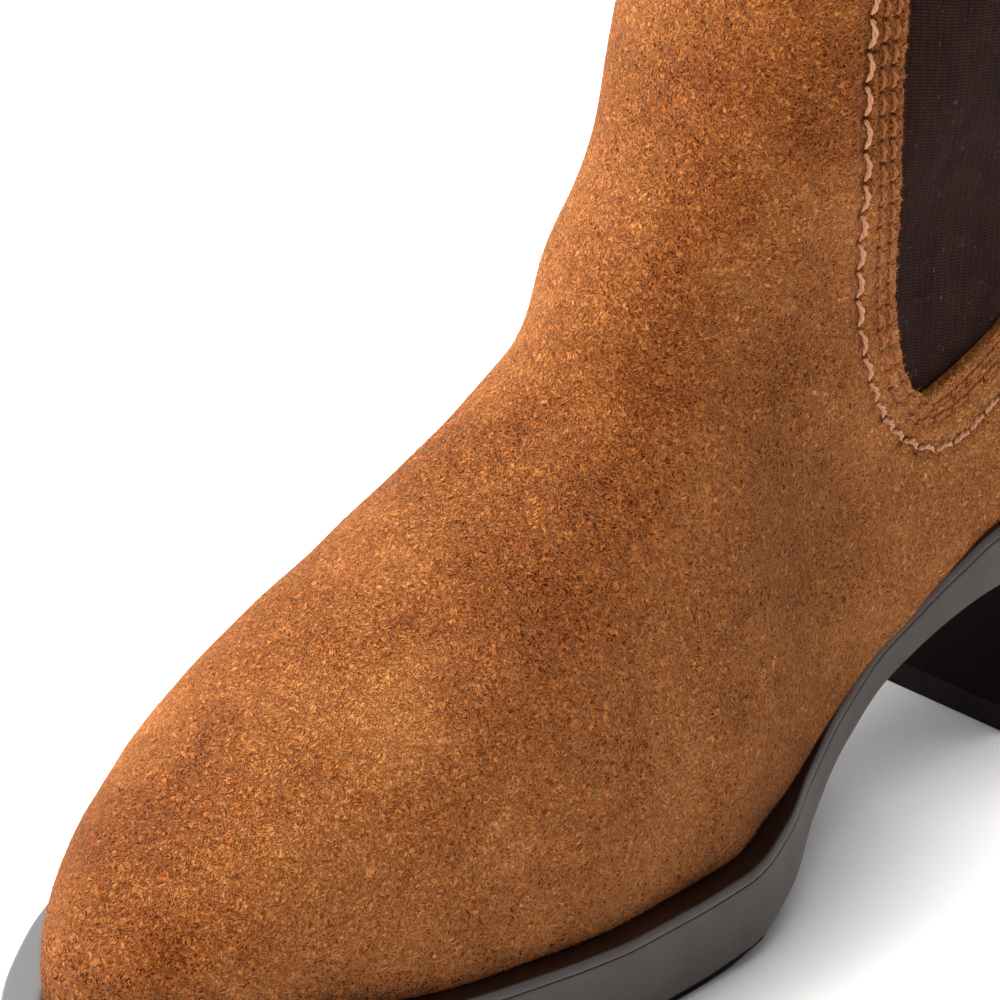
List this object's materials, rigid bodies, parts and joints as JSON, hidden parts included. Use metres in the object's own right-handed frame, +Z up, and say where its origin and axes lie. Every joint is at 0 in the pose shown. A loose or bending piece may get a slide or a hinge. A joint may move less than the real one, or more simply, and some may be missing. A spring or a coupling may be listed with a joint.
{
  "type": "chelsea boot",
  "caption": "Left ankle chelsea boot in suede with elastic side gores, pointed almond toe, thick sole edge with a ledge welt, block heel and a rear pull loop.",
  "frame": {"origin": "on the floor, under the middle of the boot's bounding box", "axes": "+Z up, -Y towards the toe, +X towards the outer (lateral) side of this left boot"},
  "size_m": [0.0955, 0.2838, 0.2115],
  "materials": {
    "suede": "matte nap",
    "elastic": "matte ribbed elastic",
    "webbing": "woven webbing",
    "lining_leather": "smooth satin",
    "sock_leather": "smooth satin",
    "thread_contrast": "twisted thread",
    "thread_tonal": "twisted thread",
    "welt_black": "polished edge",
    "midsole_brown": "satin",
    "tread_rubber": "matte",
    "heel_black": "satin lacquer",
    "board": "fibreboard",
    "foam": "open foam",
    "cork": "pressed cork",
    "stiffener": "thermoplastic sheet",
    "steel": "brushed"
  },
  "bodies": {
    "boot": {"tread": "tread_rubber", "midsole": "midsole_brown", "welt": "welt_black", "bottom_filler": "cork", "shank": "steel", "heel_block": "heel_black", "heel_top_piece": "tread_rubber", "heel_screw": "steel", "heel_nails": "steel", "top_piece_pins": "steel", "insole_board": "board", "footbed_foam": "foam", "sock_lining": "sock_leather", "toe_puff": "stiffener", "heel_counter": "stiffener", "vamp_lining": "lining_leather", "quarter_lining": "lining_leather", "gore_lateral": "elastic", "gore_medial": "elastic", "upper": "suede", "back_strip": "suede", "gore_stitching_lateral": "thread_contrast", "gore_stitching_medial": "thread_contrast", "collar_stitching": "thread_tonal", "back_strip_stitching": "thread_tonal", "tab_tail": "webbing"},
    "loop": {"pull_tab": "webbing"}
  },
  "joints": [
    {"name": "pull_tab_flex", "type": "hinge", "parent": "boot", "child": "loop", "pos_m": [0, 0.13407, 0.1875], "axis": [1, 0, 0], "range_deg": [-65, 65], "stiffness_Nm_per_rad": 0.003}
  ]
}
